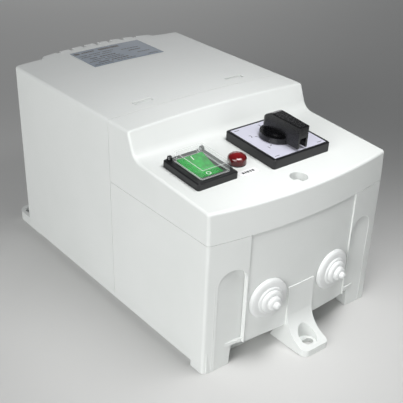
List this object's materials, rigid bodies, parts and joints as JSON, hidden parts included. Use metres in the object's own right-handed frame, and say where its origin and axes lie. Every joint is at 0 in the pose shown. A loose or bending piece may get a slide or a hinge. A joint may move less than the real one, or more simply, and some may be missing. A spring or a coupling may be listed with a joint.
{
  "type": "magnetic motor starter",
  "caption": "Transformer motor starter: vented light grey housing, hinged control cover with rotary step switch, lit rocker under a clear lid and signal lamp, cable grommets, fixing feet.",
  "frame": {"origin": "middle of the bounding box's bottom, on the mounting face", "axes": "+Z out of the mounting face, +Y towards the vented end, -Y towards the cable grommets"},
  "size_m": [0.154, 0.292, 0.1485],
  "materials": {
    "housing": "fine satin grain",
    "inner_plastic": "plain moulded",
    "seal_rubber": "matt",
    "zinc_steel": "zinc plated",
    "screw_plastic": "satin",
    "grommet_rubber": "matt white",
    "label_foil": "printed foil",
    "label_paper": "blank printed film",
    "core_steel": "laminated sheet, varnished",
    "bobbin_plastic": "glass-filled nylon",
    "winding_copper": "enamelled wire",
    "tape": "polyester tape",
    "tinned_brass": "tinned",
    "terminal_plastic": "moulded polyamide",
    "earth_plastic": "moulded polyamide",
    "brass": "satin",
    "black_plastic": "satin moulded",
    "contactor_plastic": "moulded",
    "silver": "silver plated",
    "wire_insulation": "soft vinyl",
    "legend_foil": "brushed foil",
    "red_lens": "translucent",
    "knob_plastic": "satin moulded",
    "green_rocker": "translucent",
    "clear_plastic": "clear moulded"
  },
  "bodies": {
    "enclosure": {"base_tray": "housing", "transformer_hood": "housing", "terminal_housing": "housing", "bay_partition": "inner_plastic", "cover_seal": "seal_rubber", "hood_screws": "zinc_steel", "cable_grommet_left": "grommet_rubber", "cable_grommet_right": "grommet_rubber", "rating_label": "label_foil", "transformer_core": "core_steel", "coil_bobbin": "bobbin_plastic", "coil_winding": "winding_copper", "coil_tape": "tape", "tap_tags": "tinned_brass", "core_brackets": "zinc_steel", "core_bolts": "zinc_steel", "bracket_screws": "zinc_steel", "terminal_rail": "zinc_steel", "terminal_blocks": "terminal_plastic", "earth_terminal_block": "earth_plastic", "rail_end_stops": "terminal_plastic", "terminal_bars": "brass", "terminal_screws": "zinc_steel", "contactor_base": "black_plastic", "contactor_housing": "contactor_plastic", "contactor_core": "core_steel", "contactor_bobbin": "bobbin_plastic", "contactor_coil": "winding_copper", "fixed_contacts": "silver", "return_springs": "zinc_steel", "tap_loom": "wire_insulation", "panel_loom": "wire_insulation", "link_wires": "wire_insulation"},
    "armature": {"contactor_armature": "core_steel", "contact_carrier": "black_plastic", "moving_contacts": "silver"},
    "cover": {"control_cover": "housing", "cover_screw": "screw_plastic", "lamp_label": "label_paper", "switch_bezel": "black_plastic", "switch_legend": "legend_foil", "switch_latch_housing": "black_plastic", "switch_chamber_1": "contactor_plastic", "switch_chamber_2": "contactor_plastic", "switch_chamber_3": "contactor_plastic", "switch_end_plate": "black_plastic", "switch_bolts": "zinc_steel", "switch_terminals": "brass", "switch_detent_rollers": "zinc_steel", "rocker_housing": "black_plastic", "panel_terminals": "tinned_brass", "lamp_body": "black_plastic", "lamp_lens": "red_lens", "lamp_nut": "black_plastic"},
    "knob": {"switch_knob": "knob_plastic", "switch_shaft": "zinc_steel", "switch_star_wheel": "inner_plastic", "switch_cams": "inner_plastic"},
    "rocker": {"rocker_button": "green_rocker"},
    "lid": {"splash_lid": "clear_plastic"}
  },
  "joints": [
    {"name": "cover_hinge", "type": "hinge", "parent": "enclosure", "child": "cover", "pos_m": [0, -0.013, 0.1468], "axis": [-1, 0, 0], "range_deg": [0, 75], "deforming": ["tap_loom", "panel_loom"]},
    {"name": "knob_turn", "type": "hinge", "parent": "cover", "child": "knob", "pos_m": [0.0173, -0.07631, 0.12437], "axis": [0, 0.0708, -0.9975], "range_deg": [0, 300]},
    {"name": "rocker_tilt", "type": "hinge", "parent": "cover", "child": "rocker", "pos_m": [-0.05, -0.07804, 0.12475], "axis": [-1, 0, 0], "range_deg": [0, 16]},
    {"name": "lid_hinge", "type": "hinge", "parent": "cover", "child": "lid", "pos_m": [-0.05, -0.06311, 0.13192], "axis": [-1, 0, 0], "range_deg": [0, 95]},
    {"name": "armature_slide", "type": "slide", "parent": "enclosure", "child": "armature", "axis": [0, 0, -1], "range_m": [0, 0.004], "stiffness_N_per_m": 1000, "springref_m": -0.003, "deforming": ["return_springs"]}
  ]
}
